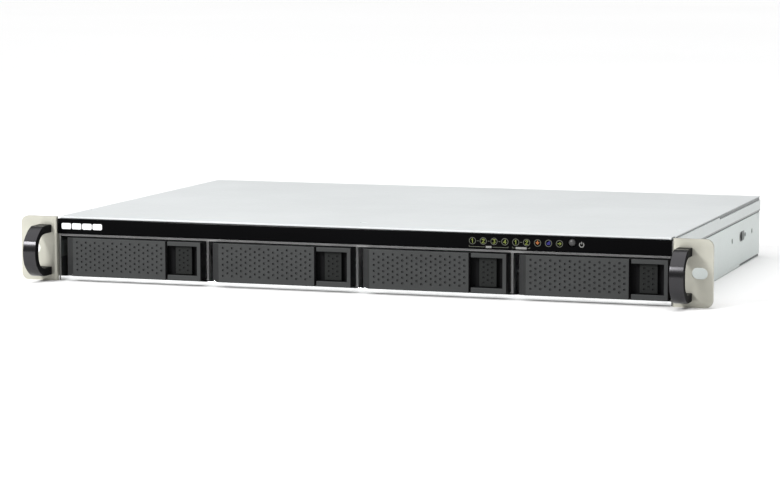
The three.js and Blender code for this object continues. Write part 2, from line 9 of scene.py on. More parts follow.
import bmesh
import bpy
from mathutils import Matrix, Vector


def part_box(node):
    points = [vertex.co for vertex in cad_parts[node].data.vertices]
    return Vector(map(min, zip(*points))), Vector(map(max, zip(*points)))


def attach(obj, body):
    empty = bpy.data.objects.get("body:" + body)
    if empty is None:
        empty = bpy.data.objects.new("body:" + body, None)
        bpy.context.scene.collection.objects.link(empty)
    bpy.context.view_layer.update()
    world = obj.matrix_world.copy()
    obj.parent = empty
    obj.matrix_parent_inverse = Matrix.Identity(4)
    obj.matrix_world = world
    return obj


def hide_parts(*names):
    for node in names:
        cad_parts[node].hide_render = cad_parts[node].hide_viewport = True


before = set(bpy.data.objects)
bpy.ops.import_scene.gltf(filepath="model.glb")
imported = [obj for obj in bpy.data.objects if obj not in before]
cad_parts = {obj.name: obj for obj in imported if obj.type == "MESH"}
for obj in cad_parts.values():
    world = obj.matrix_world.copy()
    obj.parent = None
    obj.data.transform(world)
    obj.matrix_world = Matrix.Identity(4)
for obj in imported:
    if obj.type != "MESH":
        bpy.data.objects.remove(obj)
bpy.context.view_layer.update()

MM = 0.001
BAYS = (1, 2, 3, 4)
SIDES = (("left", -1), ("right", 1))


# --- places from the frame


def extent(node):
    """The [low, high] pairs of a CAD node along x, y and z, in millimetres."""
    low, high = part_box(node)
    return [(low[axis] / MM, high[axis] / MM) for axis in range(3)]


def middle(pair):
    return (pair[0] + pair[1]) / 2


def facing(node):
    """The middle of a CAD node as seen from the front: x and z."""
    x, _, z = extent(node)
    return (middle(x), middle(z))


def fan_corners(number):
    """The places of a system fan's four screws."""
    x, z = facing(f"system_fan_{number}_frame")
    spacing = 32
    return [(a, b) for b in around(z, spacing) for a in around(x, spacing)]


EAR_FACE = extent("rack_ear_left")[1][0]
COVER_FOOT = extent("top_cover")[2][0]
SHEET = 1.2
JOGGLE = 1.0  # how far the upper side wall steps in under the cover's flange
GUIDES = (16.3, 17.3)  # the ribs that hold a tray down
# Each hole's distance behind the ears' front face, and its radius.
RAIL_HOLES = ((193.5, 2.0), (229.5, 3.75), (241.0, 1.7), (265.5, 2.0))
RAIL_HOLE_HEIGHT = 21.3
DISH = (24, 8.8)  # pressed round the largest of those holes


# --- outlines


def arc(centre, radius, start, end, steps):
    """Points on an arc, with the angles in degrees."""
    angles = [math.radians(start + (end - start) * i / steps) for i in range(steps + 1)]
    return [(centre[0] + radius * math.cos(a), centre[1] + radius * math.sin(a)) for a in angles]


def curve(points, steps):
    """Points on the Bezier curve with these two, three or four control points."""
    found = []
    for i in range(steps + 1):
        t = i / steps
        row = [Vector(p) for p in points]
        while len(row) > 1:
            row = [a.lerp(b, t) for a, b in zip(row, row[1:])]
        found.append(tuple(row[0]))
    return found


def rectangle(across, up, radius=0.0, steps=6):
    """A rectangle between two extents, with round corners where a radius is given."""
    (left, right), (low, high) = across, up
    if radius <= 0:
        return [(left, low), (right, low), (right, high), (left, high)]
    return [
        *arc((right - radius, low + radius), radius, -90, 0, steps),
        *arc((right - radius, high - radius), radius, 0, 90, steps),
        *arc((left + radius, high - radius), radius, 90, 180, steps),
        *arc((left + radius, low + radius), radius, 180, 270, steps),
    ]


def circle(centre, radius, sides=32):
    return arc(centre, radius, 0, 360, sides)[:-1]


def mirrored(right_half):
    """A symmetric outline from its right half, which runs from the outside in."""
    return [*right_half, *[(-x, z) for x, z in reversed(right_half)]]


def around(centre, size):
    return (centre - size / 2, centre + size / 2)


def on_side(side, inner, outer):
    """An extent across x that lies on one side of the object."""
    return (inner, outer) if side > 0 else (-outer, -inner)


# --- meshes

PLACES = {
    "plan": lambda a, b, depth: (a, b, depth),
    "front": lambda a, b, depth: (a, depth, b),
    "side": lambda a, b, depth: (depth, a, b),
}


def new_object(name, bm):
    bmesh.ops.remove_doubles(bm, verts=bm.verts, dist=1e-5)
    bmesh.ops.recalc_face_normals(bm, faces=bm.faces)
    bm.transform(Matrix.Scale(MM, 4))
    mesh = bpy.data.meshes.new(name)
    bm.to_mesh(mesh)
    bm.free()
    obj = bpy.data.objects.new(name, mesh)
    bpy.context.scene.collection.objects.link(obj)
    return obj


def add_prism(bm, outline, plane, depth, taper=1.0):
    """A closed prism. taper scales its far end about the outline's middle."""
    place = PLACES[plane]
    cx, cy = (sum(row) / len(outline) for row in zip(*outline))
    near = [bm.verts.new(place(a, b, depth[0])) for a, b in outline]
    tapered = [(cx + (a - cx) * taper, cy + (b - cy) * taper) for a, b in outline]
    far = [bm.verts.new(place(a, b, depth[1])) for a, b in tapered]
    bm.faces.new(near)
    bm.faces.new(far[::-1])
    for i in range(len(outline)):
        j = (i + 1) % len(outline)
        bm.faces.new((near[i], far[i], far[j], near[j]))


def prisms(name, *parts):
    """One object that holds several prisms, each given as (outline, plane, depth[, taper])."""
    bm = bmesh.new()
    for part in parts:
        add_prism(bm, *part)
    return new_object(name, bm)


def box_part(x, y, z):
    return (rectangle(x, y), "plan", z)


def spun(name, profile, centre, plane="front", steps=40):
    """A turned piece: profile points are (radius, place along the axis)."""
    bm = bmesh.new()
    rings = []
    for radius, along in profile:
        spots = circle(centre, radius, steps) if radius else [centre]
        rings.append([bm.verts.new(PLACES[plane](a, b, along)) for a, b in spots])
    for low, high in zip(rings, rings[1:]):
        for i in range(steps):
            j = (i + 1) % steps
            if len(low) == 1:
                bm.faces.new((low[0], high[j], high[i]))
            elif len(high) == 1:
                bm.faces.new((low[i], low[j], high[0]))
            else:
                bm.faces.new((low[i], low[j], high[j], high[i]))
    return new_object(name, bm)


def bake(obj):
    """Applies the object's modifiers to its mesh."""
    bpy.context.view_layer.update()
    evaluated = obj.evaluated_get(bpy.context.evaluated_depsgraph_get())
    mesh = bpy.data.meshes.new_from_object(evaluated)
    obj.modifiers.clear()
    old, obj.data = obj.data, mesh
    bpy.data.meshes.remove(old)


def combine(obj, other, operation):
    """Joins or cuts one closed mesh with another, which is used up."""
    modifier = obj.modifiers.new("combine", "BOOLEAN")
    modifier.operation = operation
    modifier.solver = "MANIFOLD"
    modifier.object = other
    bake(obj)
    bpy.data.objects.remove(other)


def fuse(obj, *parts):
    for part in parts:
        combine(obj, prisms("part", part), "UNION")


def carve(obj, *parts):
    combine(obj, prisms("cutter", *parts), "DIFFERENCE")


def add_bevel(obj, width, segments=2, angle=40):
    bevel = obj.modifiers.new("soften", "BEVEL")
    bevel.width = width * MM
    bevel.segments = segments
    bevel.limit_method = "ANGLE"
    bevel.angle_limit = math.radians(angle)


def soften(obj, *bevel):
    """Rounds the sharp edges by a small radius, as pressing or moulding leaves them."""
    add_bevel(obj, *bevel)
    bake(obj)


def smooth(obj, angle=38):
    obj.data.shade_smooth()
    obj.data.set_sharp_from_angle(angle=math.radians(angle))
    modifier = obj.modifiers.new("normals", "WEIGHTED_NORMAL")
    modifier.keep_sharp = True
    modifier.weight = 100
    return obj


def paint(obj, material):
    obj.data.materials.clear()
    obj.data.materials.append(material)


def dress(obj, material, slot_name, *nodes, body="chassis"):
    """Gives a finished piece its material and body, and hides the CAD nodes it stands for."""
    paint(obj, material)
    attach(obj, body)
    if nodes:
        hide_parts(*nodes)


def keep_node(node, material, radius=0):
    """A CAD node that stays: a better material, and softened edges as modifiers."""
    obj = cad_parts[node]
    paint(obj, material)
    weld = obj.modifiers.new("weld", "WELD")
    weld.merge_threshold = 0.001 * MM
    if radius:
        add_bevel(obj, radius)


# --- materials


class Nodes:
    """A short way to build a Principled material's node tree."""

    def __init__(self, name):
        self.material = bpy.data.materials.new(name)
        self.material.use_nodes = True
        self.tree = self.material.node_tree
        self.shader = self.tree.nodes["Principled BSDF"]
        self.place = self.tree.nodes.new("ShaderNodeTexCoord").outputs["Object"]

    def add(self, kind, **inputs):
        node = self.tree.nodes.new(kind)
        for key, value in inputs.items():
            self.feed(node.inputs[key.replace("_", " ")], value)
        return node

    def feed(self, socket, value):
        if isinstance(value, bpy.types.NodeSocket):
            self.tree.links.new(value, socket)
        else:
            socket.default_value = value

    def noise(self, scale, detail, stretch=(1, 1, 1)):
        place = self.add("ShaderNodeMapping", Vector=self.place, Scale=stretch).outputs["Vector"]
        node = self.add("ShaderNodeTexNoise", Vector=place, Scale=scale, Detail=detail)
        return node.outputs["Fac"]

    def spread(self, value, low, high, start=0.3, end=0.7):
        limits = {"From_Min": start, "From_Max": end, "To_Min": low, "To_Max": high}
        return self.add("ShaderNodeMapRange", Value=value, **limits).outputs["Result"]

    def clouded(self, colour, dark, light, *noise):
        """A colour that drifts between two factors of itself."""
        share = self.spread(self.noise(*noise), 0, 1)
        return self.mix(share, tinted(colour, dark), tinted(colour, light))

    def mix(self, factor, first, second):
        node = self.tree.nodes.new("ShaderNodeMix")
        node.data_type = "RGBA"
        self.feed(node.inputs["Factor"], factor)
        for name, colour in (("A", first), ("B", second)):
            self.feed(node.inputs[name], (*colour, 1) if isinstance(colour, tuple) else colour)
        return node.outputs["Result"]

    def sideways(self, start, end):
        """Rises from 0 to 1 as a face turns from the front towards the x axis."""
        normal = self.tree.nodes["Texture Coordinate"].outputs["Normal"]
        parts = self.add("ShaderNodeSeparateXYZ", Vector=normal)
        return self.spread(self.math("ABSOLUTE", parts.outputs["X"]), 0, 1, start, end)

    def ramp(self, axis, start, end):
        """Goes from 0 at the start to 1 at the end, in millimetres along an axis."""
        parts = self.add("ShaderNodeSeparateXYZ", Vector=self.place)
        return self.spread(parts.outputs[axis], 0, 1, start * MM, end * MM)

    def within(self, start, end):
        """Falls from 1 to 0 between two distances, in millimetres, from the plane x = 0."""
        parts = self.add("ShaderNodeSeparateXYZ", Vector=self.place)
        return self.spread(self.math("ABSOLUTE", parts.outputs["X"]), 1, 0, start * MM, end * MM)

    def math(self, operation, *values):
        node = self.tree.nodes.new("ShaderNodeMath")
        node.operation = operation
        for socket, value in zip(node.inputs, values):
            self.feed(socket, value)
        return node.outputs[0]

    def bump(self, height, strength, distance):
        node = self.add("ShaderNodeBump", Height=height, Strength=strength, Distance=distance * MM)
        return node.outputs["Normal"]

    def finish(self, **values):
        for key, value in values.items():
            self.feed(self.shader.inputs[key.replace("_", " ")], value)
        return self.material


def tinted(colour, factor):
    return tuple(min(1.0, channel * factor) for channel in colour)


def sheet_metal(name, colour, metallic, roughness, *shadows):
    """Zinc-coated sheet: a faint cloud of spangle under a fine rolled grain.

    Each shadow is a (where, colour) pair of painted shade, which darkens folds, grooves, flanks and edges
    where shade falls."""
    nodes = Nodes(name)
    grain = nodes.noise(1500, 2, (1, 0.08, 1))
    speck = nodes.noise(420, 4)
    shade = nodes.clouded(colour, 0.965, 1.03, 14, 3)
    # Painted shade: each mask darkens its faces towards its colour.
    for where, other in shadows:
        shade = nodes.mix(where(nodes), shade, other)
    return nodes.finish(
        Base_Color=shade,
        Metallic=metallic,
        Roughness=nodes.spread(speck, roughness - 0.05, roughness + 0.06),
        Normal=nodes.bump(grain, 0.12, 0.02),
    )


def nowhere(nodes):
    return 0.0


def shaded_sides_and_roots(nodes):
    """Painted shade on an extruded bar: its cut sides, which face along x, and its ends at the ears."""
    root = nodes.ramp("Y", EAR_FACE - 13, EAR_FACE - 9)
    return nodes.math("MAXIMUM", root, nodes.sideways(0.6, 0.95))


def lit_bars_under_rail(nodes):
    """The upright bars under the rail, which take painted light."""
    return nodes.ramp("Z", 30.6, 30.3)


def flanks(nodes):
    """The faces that look along x, which take painted shade."""
    return nodes.sideways(0.2, 0.6)


def side_and_recess_shade(nodes):
    """Painted shade as above, and on the wall at the back of the finger recess."""
    depth = nodes.ramp("Y", EAR_FACE - 2.6, EAR_FACE - 1.0)
    return nodes.math("MAXIMUM", depth, flanks(nodes))


def flange_edge_shadow(nodes):
    """Painted shadow on the cut lower edges of the cover's flanges, where they meet the chassis."""
    return nodes.ramp("Z", COVER_FOOT + 1.2, COVER_FOOT + 1.0)


def dish_shade(nodes):
    """Painted shade in the dishes round the largest rail holes, darker towards the middle."""
    wall = extent("chassis_base")[0][1]
    low, high = around(RAIL_HOLE_HEIGHT + 0.1, DISH[1] + 2.2)
    edge = 0.5
    band = nodes.math("MULTIPLY", nodes.ramp("Z", low, low + edge), nodes.ramp("Z", high + edge, high))
    return nodes.math("MULTIPLY", band, nodes.within(wall - 0.75, wall - 0.1))


def front_edge_shade(nodes):
    """Painted shade on the cut front edges of the chassis sheet, beside the outer trays."""
    edge = extent("chassis_base")[1][0]
    return nodes.ramp("Y", edge + 0.5, edge + 0.25)


def grooves(plane):
    """Painted shade on side faces that lie deeper than a plane, in millimetres from the middle."""
    depth = (plane - 0.2, plane)
    return lambda nodes: nodes.math("MULTIPLY", nodes.sideways(0.5, 0.7), nodes.within(*depth))


def satin_metal(
    name, colour, roughness, metallic=1.0, grain=900.0, where=nowhere, other=(0, 0, 0),
):
    """Machined or anodised metal with a fine short grain across it."""
    nodes = Nodes(name)
    lines = nodes.noise(grain, 3, (0.12, 1, 1))
    shade = nodes.clouded(colour, 0.93, 1.06, 60, 3)
    # Painted light: where the mask lies, the colour turns to the other one.
    return nodes.finish(
        Base_Color=nodes.mix(where(nodes), shade, other),
        Metallic=metallic,
        Roughness=nodes.spread(lines, roughness - 0.05, roughness + 0.07),
        Normal=nodes.bump(lines, 0.1, 0.015),
    )


def brushed_metal(name, colour, roughness, where, other):
    """Anodised metal brushed along its bend, which spreads its highlights along x."""
    nodes = Nodes(name)
    shade = nodes.clouded(colour, 0.95, 1.05, 60, 3)
    # Painted shade: where the mask lies, the metal turns to the other colour, dull and not metallic.
    mask = where(nodes)
    return nodes.finish(
        Base_Color=nodes.mix(mask, shade, other),
        Metallic=nodes.spread(mask, 1, 0, 0, 1),
        Specular_IOR_Level=nodes.spread(mask, 0.5, 0.05, 0, 1),
        Roughness=nodes.spread(mask, roughness, 0.6, 0, 1),
        Anisotropic=0.8,
        Tangent=nodes.add("ShaderNodeCombineXYZ", X=1.0).outputs["Vector"],
    )


def moulded(name, colour, roughness, specular, grain=1.0, where=nowhere, other=(0, 0, 0)):
    """Plastic with a fine spark-eroded texture and slight flow marks."""
    nodes = Nodes(name)
    texture = nodes.noise(2600, 2)
    shade = nodes.clouded(colour, 0.9, 1.1, 35, 3, (1, 1, 3))
    # Painted shade: where the mask lies, the plastic turns to the other colour and loses most of its
    # sheen.
    mask = where(nodes)
    return nodes.finish(
        Base_Color=nodes.mix(mask, shade, other),
        Roughness=nodes.spread(texture, roughness - 0.08, roughness + 0.08),
        Specular_IOR_Level=nodes.spread(mask, specular, 0.05, 0, 1),
        Normal=nodes.bump(texture, 0.25 * grain, 0.03),
    )


def polished(name, colour, specular):
    """Polished black plastic: a clear surface with the slightest waviness."""
    nodes = Nodes(name)
    wave = nodes.noise(18, 1)
    dust = nodes.noise(300, 5)
    return nodes.finish(
        Base_Color=nodes.mix(nodes.spread(wave, 0, 1), colour, tinted(colour, 1.4)),
        Roughness=nodes.spread(dust, 0.07, 0.13),
        Specular_IOR_Level=specular,
        Normal=nodes.bump(wave, 0.05, 0.2),
    )


def circuit(name, colour):
    """Solder mask over fine tracks."""
    nodes = Nodes(name)
    tracks = nodes.noise(700, 1, (1, 0.2, 1))
    shade = nodes.mix(nodes.spread(tracks, 0, 1, 0.45, 0.55), colour, tinted(colour, 1.6))
    return nodes.finish(
        Base_Color=shade, Roughness=0.35, Normal=nodes.bump(tracks, 0.3, 0.03),
    )


def printed(name, colour, glow=0.0):
    nodes = Nodes(name)
    shade = nodes.clouded(colour, 0.85, 1.1, 900, 2)
    nodes.finish(Base_Color=shade, Roughness=0.4)
    if glow:
        nodes.finish(Emission_Color=shade, Emission_Strength=glow)
    return nodes.material


ZINC_COLOUR = (0.70, 0.725, 0.73)
ZINC = sheet_metal("zinc", ZINC_COLOUR, 0.35, 0.42)
# Painted shade on the cover: its flanks a shade darker than its top, its deeper side faces dark, and a
# dark band along the flanges' lower edges.
COVER_ZINC = sheet_metal(
    "cover_zinc", ZINC_COLOUR, 0.35, 0.42, (flanks, (0.60, 0.635, 0.63)),
    (grooves(214.8), (0.19, 0.205, 0.205)), (flange_edge_shadow, (0.27, 0.29, 0.285)),
)
# Painted shade on the base: its zinc a shade darker than the cover's for its side walls, its deeper side
# faces and inner walls dark, and its dishes and cut front edges darker.
BASE_ZINC = sheet_metal(
    "base_zinc", (0.61, 0.66, 0.645), 0.35, 0.42,
    (grooves(214.35), (0.11, 0.12, 0.12)), (grooves(213.45), (0.03, 0.03, 0.03)),
    (dish_shade, (0.14, 0.155, 0.15)), (front_edge_shade, (0.17, 0.17, 0.165)),
)
SILL = satin_metal("folded_edge", (0.88, 0.89, 0.89), 0.16)
CAGE = sheet_metal("cage_zinc", (0.55, 0.57, 0.58), 0.7, 0.4)
EAR = satin_metal("ear_silver", (0.485, 0.478, 0.415), 0.42, 0.6, 500)
# The colour of painted deep shade on the handles, the tray fronts and the releases.
PAINTED_DEEP_SHADE = (0.005, 0.005, 0.0055)
# Painted shade: the handles' cut sides and roots turn near-black and dull.
GUNMETAL = brushed_metal("gunmetal", (0.048, 0.0471, 0.0498), 0.27, shaded_sides_and_roots, PAINTED_DEEP_SHADE)
# Painted light: the frame's upright bars below the rail are painted lighter than the rail.
SILVER = satin_metal(
    "frame_steel", (0.28, 0.28, 0.28), 0.34, 0.6, where=lit_bars_under_rail, other=(0.6, 0.6, 0.6),
)
GLOSS = polished("gloss_black", (0.0012, 0.0012, 0.0014), 0.02)
TRAY_COLOUR = (0.0255, 0.027, 0.027)
SHADE = (0.012, 0.012, 0.0125)
# Painted shade: the trays' faces that look along x turn darker.
TRAY = moulded("tray_plastic", TRAY_COLOUR, 0.5, 0.3, where=flanks, other=SHADE)
# Painted shade: the tray fronts' faces that look along x and the back of the finger recess turn
# near-black.
BEZEL = moulded("bezel_plastic", TRAY_COLOUR, 0.5, 0.3, where=side_and_recess_shade, other=PAINTED_DEEP_SHADE)
# Painted shade: the releases' faces that look along x turn near-black.
LATCH = moulded("latch_plastic", (0.0095, 0.0105, 0.010), 0.55, 0.15, where=flanks, other=PAINTED_DEEP_SHADE)
KEY = moulded("key_plastic", (0.030, 0.030, 0.030), 0.42, 0.5, 0.3)
BLACK = moulded("black_plastic", (0.012, 0.012, 0.013), 0.45, 0.4, 0.6)
BOARD = circuit("circuit_board", (0.015, 0.10, 0.05))
NICKEL = satin_metal("nickel", (0.72, 0.71, 0.69), 0.22)
ALUMINIUM = satin_metal("aluminium", (0.58, 0.59, 0.60), 0.36)
BRASS = satin_metal("gold_contact", (0.75, 0.52, 0.18), 0.25)
USB_BLUE = moulded("socket_blue", (0.02, 0.10, 0.42), 0.4, 0.5, 0.5)
INK = printed("print_white", (0.80, 0.80, 0.80))
FAINT_INK = printed("print_grey", (0.19, 0.19, 0.18))
RING = printed("print_ring", (0.06, 0.065, 0.045))
LAMP_GREEN = printed("lamp_green", (0.11, 0.14, 0.01), 0.05)
LAMP_ORANGE = printed("lamp_orange", (0.30, 0.085, 0.006), 0.05)
LAMP_BLUE = printed("lamp_blue", (0.008, 0.006, 0.16), 0.1)


# --- case


def side_boxes(inner, outer, y, z):
    """The same box on each side of the object."""
    return [box_part(on_side(side, inner, outer), y, z) for _, side in SIDES]


def cover_shell():
    """The top cover: a rolled edge, flanges down the sides and three tabs at the back."""
    (_, half), (front, rear), (foot, top) = extent("top_cover")
    bend, sheet, lip, lip_drop = 1.0, 1.2, 1.1, 1.6
    inside = half - 1
    flange_front, fold_end = front + 8.2, EAR_FACE + 147
    underside = top - sheet
    section = mirrored([
        *reversed(arc((half - bend, top - bend), bend, 0, 90, 5)),
        (half, foot), (inside, foot), (inside, underside - lip_drop),
        (inside - lip, underside - lip_drop), (inside - lip, underside),
    ])
    shell = prisms("cover_shell", (section, "front", (flange_front, rear)))
    nose = box_part((-half + 1.6, half - 1.6), (front, flange_front + 0.5), (underside, top))
    tab_front = extent("rear_panel")[1][1] + 0.3
    screws = [facing(f"cover_screw_{number}") for number in (1, 2, 3)]
    tabs = [
        box_part(around(x, 10), (tab_front, tab_front + 1), (foot + 1, underside + 0.3))
        for x, _ in screws
    ]
    fuse(shell, nose, *tabs)
    rebates = side_boxes(half - 0.8, half + 1, (fold_end, rear + 1), (41.2, top - 0.45))
    folds = side_boxes(half - 0.6, half + 1, (flange_front - 1, fold_end + 1), (42.6, top - 0.5))
    carve(shell, *rebates, *folds)
    soften(shell, 0.2)
    carve(shell, *[
        (rectangle(around(x, 5.2), around(EAR_FACE + y, 1.8), 0.85), "plan", (top - 0.35, top + 1))
        for x, y in ((209, 49), (-2.5, 29), (-209, 49))
    ])
    carve(shell, *[(circle(screw, 1.8), "front", (tab_front - 1, rear - 0.1)) for screw in screws])
    dress(smooth(shell), COVER_ZINC, "zinc_sheet", "top_cover")


def base_shell():
    """Bottom and sides in one folded sheet, with the slide-rail holes near the back."""
    (_, half), (front, rear), (_, top) = extent("chassis_base")
    inside, foot = half - SHEET, COVER_FOOT
    section = mirrored([
        *arc((half - 0.8, 0.8), 0.8, -90, 0, 4),
        (half, foot - JOGGLE), (half - JOGGLE, foot), (half - JOGGLE, top),
        (inside - JOGGLE - 8, top), (inside - JOGGLE - 8, top - SHEET),
        (inside - JOGGLE, top - SHEET), (inside - JOGGLE, foot - 0.3),
        (inside, foot - 0.3 - JOGGLE), (inside, SHEET),
    ])
    shell = prisms("base_shell", (section, "front", (front, rear)))
    fuse(shell, *side_boxes(inside - 1.9, inside + 0.2, (EAR_FACE + 20, EAR_FACE + 166), GUIDES))
    strip_back, strip_seat = extent("front_strip")[1][1] + 0.8, 32.4
    panel_front = extent("rear_panel")[1][0]
    groove_start, seam_foot = EAR_FACE + 221, 27.5
    cuts = [box_part((-half - 5, half + 5), (front - 1, strip_back), (strip_seat, top + 3))]
    largest = EAR_FACE + RAIL_HOLES[1][0]
    dish = rectangle(around(largest, DISH[0]), around(RAIL_HOLE_HEIGHT, DISH[1]), 4.3)
    for _, side in SIDES:
        flange, rim = on_side(side, inside - JOGGLE - 12, inside - JOGGLE), (top - 2, top + 1)
        groove, seam = on_side(side, half - 0.7, half + 1), on_side(side, half - 2, half + 1)
        cuts += [
            box_part(flange, (front - 1, EAR_FACE + 14), rim),
            box_part(flange, (panel_front - 0.5, rear + 1), rim),
            box_part(groove, (groove_start, rear + 1), (0.4, 1.9)),
            box_part(seam, (rear - 8.2, rear - 7.4), (seam_foot, foot - 0.8)),
            (dish, "side", (side * (half + 0.05), side * (half - 0.8)), 0.35),
        ]
    carve(shell, *cuts)
    soften(shell, 0.2)
    holes = [(circle((EAR_FACE + y, RAIL_HOLE_HEIGHT), radius, 28), "side") for y, radius in RAIL_HOLES]
    carve(shell, *[(*hole, on_side(side, half - 3, half + 2)) for _, side in SIDES for hole in holes])
    vent_columns, vent_rows = (-150, -105, -60, 60, 105, 150), (196, 204, 212, 220, 228)
    carve(shell, *[
        (rectangle(around(x, 34), around(EAR_FACE + y, 3), 1.45), "plan", (-1, SHEET + 1))
        for x in vent_columns for y in vent_rows
    ])
    dress(smooth(shell), BASE_ZINC, "zinc_sheet", "chassis_base")
    lip = box_part((-inside - 0.5, inside + 0.5), (front - 0.1, front + SHEET), (0.1, 3.2))
    sill = prisms("front_sill", lip)
    soften(sill, 0.3)
    dress(smooth(sill), SILL, "zinc_sheet")


def rail_rivets():
    """A rivet set well back in each side's largest hole."""
    half = extent("chassis_base")[0][1]
    hole = (EAR_FACE + RAIL_HOLES[1][0], RAIL_HOLE_HEIGHT)
    head = [(0, 2.6), (1.2, 2.6), (1.3, 1.9), (2.2, 1.5), (3.0, 1.2), (3.7, 0.9), (3.7, 3.2), (0, 3.2)]
    for word, side in SIDES:
        profile = [(radius, side * (half - depth)) for radius, depth in head]
        rivet = spun(f"rail_rivet_{word}", profile, hole, "side", 32)
        dress(smooth(rivet), BLACK, "black_plastic")


def honeycomb(centre_x, centre_z, inside):
    """Six-sided holes on a staggered grid, where inside(x, z) is true."""
    pitch, radius = 3.6, 1.75
    step = pitch * math.sqrt(3) / 2
    found = []
    for column in range(-20, 21):
        for row in range(-20, 21):
            x = centre_x + column * step
            z = centre_z + (row + 0.5 * (column % 2)) * pitch
            if inside(x, z):
                found.append(circle((x, z), radius, 6))
    return found


def rear_panel():
    """The back wall: honeycomb grilles before the fans, a vent field and the sockets' holes."""
    (_, half), (front, rear), (low, high) = extent("rear_panel")
    step = COVER_FOOT - 0.6
    outline = mirrored([
        (half, low), (half, step - JOGGLE), (half - JOGGLE, step), (half - JOGGLE, high),
    ])
    plate = prisms("rear_wall", (outline, "front", (front, rear)))
    grille_radius, field_x, field_z = 17.2, (16, 92), (9, 31)
    holes = []
    for node in ("system_fan_1_rotor", "system_fan_2_rotor", "power_supply_fan_rotor"):
        x, z = facing(node)
        holes += honeycomb(x, z, lambda a, b: math.hypot(a - x, b - z) < grille_radius)
    in_field = lambda a, b: field_x[0] < a < field_x[1] and field_z[0] < b < field_z[1]
    holes += honeycomb(middle(field_x), middle(field_z), in_field)
    play = 0.4
    for node in ("lan_ports", "usb_ports_1", "usb_ports_2"):
        (x0, x1), _, (z0, z1) = extent(node)
        holes.append(rectangle((x0 - play, x1 + play), (z0 - play, z1 + play), 0.6))
    inlet = facing("power_inlet")
    holes.append(rectangle(around(inlet[0], 28), around(inlet[1], 20.6)))
    holes.append(circle(facing("reset_button"), 1.6, 24))
    holes += [circle(facing(f"cover_screw_{number}"), 1.8, 20) for number in (1, 2, 3)]
    for fan in (1, 2):
        holes += [circle(place, 1.9, 20) for place in fan_corners(fan)]
    carve(plate, *[(hole, "front", (front - 2, rear + 2)) for hole in holes])
    dress(smooth(plate), ZINC, "zinc_sheet", "rear_panel")


def screw(name, centre, face, head, shank, *nodes):
    """A pan-head screw along y with a cross recess, seen from behind the object.

    head is its radius and height, shank its radius and the place along y where it ends."""
    radius, height = head
    seat = face - height
    turns = [math.radians(angle) for angle in range(84, -1, -12)]
    dome = [(radius * math.cos(t), seat + height * math.sin(t)) for t in turns]
    profile = [(0, face), *dome, (shank[0], seat), shank, (0, shank[1])]
    piece = spun(name, profile, centre, "front", 28)
    long, short = radius * 2 * 0.525, radius * 0.24
    depth = (face - height * 0.55, face + 0.2)
    for wide, tall in ((long, short), (short, long)):
        carve(piece, (rectangle(around(centre[0], wide), around(centre[1], tall)), "front", depth))
    dress(smooth(piece), NICKEL, "bright_nickel", *nodes)


def screws():
    """The cover's, the handles' and the fans' screws."""
    for number in (1, 2, 3):
        node = f"cover_screw_{number}"
        start, end = extent(node)[1]
        screw(f"cover_pan_screw_{number}", facing(node), end, (3, 1.8), (1.45, start), node)
    for word, _ in SIDES:
        for height in ("lower", "upper"):
            node = f"handle_screw_{word}_{height}"
            start, end = extent(node)[1]
            name = f"handle_pan_screw_{word}_{height}"
            screw(name, facing(node), end, (2.8, 1.8), (1.2, start), node)
    panel_rear = extent("rear_panel")[1][1]
    for fan in (1, 2):
        for index, place in enumerate(fan_corners(fan)):
            name = f"system_fan_{fan}_frame_screw_{index + 1}"
            screw(name, place, panel_rear + 1.5, (2.6, 1.2), (1.3, panel_rear - 5))


# --- rack ears and handles


def ear(word, side):
    """An angle plate with round outer corners, an oval slot and a bend at the chassis."""
    node = f"rack_ear_{word}"
    (x0, x1), (face, back), (_, top) = extent(node)
    inner, outer = (x0, x1) if side > 0 else (-x1, -x0)
    thickness, flange_thickness, bend, radius = 2.5, 2.0, 2.4, 5.0
    angle = [
        *curve([(inner, face + bend), (inner, face), (inner + bend, face)], 6),
        (outer, face), (outer, face + thickness), (inner + flange_thickness + 1, face + thickness),
        (inner + flange_thickness, face + thickness + 1), (inner + flange_thickness, back),
        (inner, back),
    ]
    front = [
        (inner, 0),
        *arc((outer - radius, radius), radius, -90, 0, 12),
        *arc((outer - radius, top - radius), radius, 0, 90, 12),
        (inner, top),
    ]
    flip = lambda points: [(side * a, b) for a, b in points]
    plate = prisms(f"ear_plate_{word}", (flip(angle), "plan", (-1, top + 1)))
    combine(plate, prisms("part", (flip(front), "front", (face - 1, back + 1))), "INTERSECT")
    zone = on_side(side, inner - 1, inner + flange_thickness + 0.01)
    behind = (face + thickness, back + 1)
    carve(plate, box_part(zone, behind, (-1, 3)), box_part(zone, behind, (32.8, top + 1)))
    soften(plate, 0.35, 3)
    slot_x, slot_radius, reach = 232.55, 3.75, 1.5
    slot = [
        *arc((slot_x + reach, top / 2), slot_radius, -90, 90, 14),
        *arc((slot_x - reach, top / 2), slot_radius, 90, 270, 14),
    ]
    through = (face - 1, face + thickness + 1)
    carve(plate, (flip(slot), "front", through))
    for height in ("lower", "upper"):
        carve(plate, (circle(facing(f"handle_screw_{word}_{height}"), 1.7, 20), "front", through))
    dress(smooth(plate), EAR, "ear_metal", node)


def ear_screws(word, side):
    """Low screws that hold an ear's flange to the side of the chassis."""
    x0, x1 = extent(f"rack_ear_{word}")[0]
    flange_thickness = 2.0
    face = (x0 if side > 0 else x1) + side * flange_thickness
    socket = tuple(sorted((face + side * 1.3, face + side * 0.5)))
    heads = [(0, 1.1), (1.6, 1.1), (2.5, 0.5), (2.7, 0.02), (1.3, 0), (1.3, -3.4), (0, -3.4)]
    profile = [(radius, face + side * rise) for radius, rise in heads]
    places = ((14, 8), (14, 27), (34, 17.5))
    for index, (y, z) in enumerate(places):
        piece = spun(f"ear_screw_{word}_{index + 1}", profile, (EAR_FACE + y, z), "side", 24)
        carve(piece, (circle((EAR_FACE + y, z), 1.0, 6), "side", socket))
        dress(smooth(piece), NICKEL, "bright_nickel")


